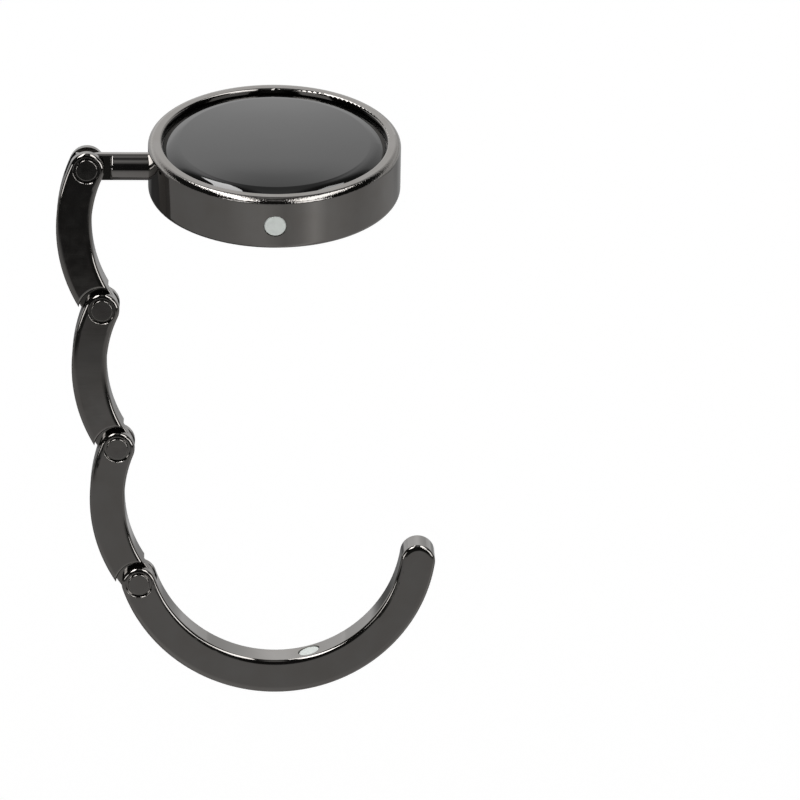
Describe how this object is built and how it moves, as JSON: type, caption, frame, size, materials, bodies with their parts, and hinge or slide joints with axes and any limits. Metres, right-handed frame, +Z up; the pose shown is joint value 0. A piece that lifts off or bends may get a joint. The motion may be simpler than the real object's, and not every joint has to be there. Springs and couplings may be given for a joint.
{
  "type": "folding purse hook",
  "caption": "Folding purse hook: a round table disc with a domed inlay and rubber pad, and a riveted chain of curved links ending in a bag hook.",
  "frame": {"origin": "centre of the disc's underside, on the face of the rubber pad that rests on the table", "axes": "+Z up along the disc's axis, the stem and chain on the -X side, the rim magnet facing -Y"},
  "size_m": [0.0526, 0.0346, 0.0798],
  "materials": {
    "gunmetal_plating": "polished zinc casting with a dark gunmetal plating",
    "rivet_plating": "semi-tubular rivet with the same dark plating",
    "dome_resin": "glossy black domed resin",
    "inlay_film": "thin black film",
    "adhesive_film": "double-sided adhesive film",
    "plate_steel": "stamped steel plate",
    "pad_rubber": "matt black rubber",
    "magnet_nickel": "nickel-plated magnet",
    "shoe_plastic": "natural nylon",
    "washer_brass": "bare brass",
    "clip_steel": "spring steel"
  },
  "bodies": {
    "disc": {"disc_housing": "gunmetal_plating", "inlay_glue": "adhesive_film", "inlay_backing": "inlay_film", "dome_inlay": "dome_resin", "back_plate": "plate_steel", "pad_glue": "adhesive_film", "grip_pad": "pad_rubber", "rim_magnet": "magnet_nickel"},
    "shoe": {"slide_shoe": "shoe_plastic"},
    "stem": {"swivel_stem": "gunmetal_plating", "thrust_washer": "washer_brass", "stem_clip": "clip_steel"},
    "link_1": {"link_1": "gunmetal_plating", "rivet_1": "rivet_plating"},
    "link_2": {"link_2": "gunmetal_plating", "rivet_2": "rivet_plating"},
    "link_3": {"link_3": "gunmetal_plating", "rivet_3": "rivet_plating"},
    "hook": {"hook_link": "gunmetal_plating", "rivet_4": "rivet_plating", "hook_magnet": "magnet_nickel"}
  },
  "joints": [
    {"name": "stem_slide", "type": "slide", "parent": "disc", "child": "shoe", "axis": [1, 0, 0], "range_m": [0, 0.00555]},
    {"name": "stem_swivel", "type": "hinge", "parent": "shoe", "child": "stem", "pos_m": [-0.0103, 0, 0.0039], "axis": [1, 0, 0], "range_deg": [-259.26, 100.74]},
    {"name": "link_1_fold", "type": "hinge", "parent": "stem", "child": "link_1", "pos_m": [-0.02565, 0, 0.0039], "axis": [0, -0.9825, 0.1864], "range_deg": [0, 24.7]},
    {"name": "link_2_fold", "type": "hinge", "parent": "link_1", "child": "link_2", "pos_m": [-0.02367, -0.00376, -0.01593], "axis": [0, -0.9825, 0.1864], "range_deg": [0, 60.4]},
    {"name": "link_3_fold", "type": "hinge", "parent": "link_2", "child": "link_3", "pos_m": [-0.02162, -0.00752, -0.03576], "axis": [0, -0.9825, 0.1864], "range_deg": [0, 58.1]},
    {"name": "hook_fold", "type": "hinge", "parent": "link_3", "child": "hook", "pos_m": [-0.01869, -0.01126, -0.05547], "axis": [0, -0.9825, 0.1864], "range_deg": [0, 20.2]}
  ]
}
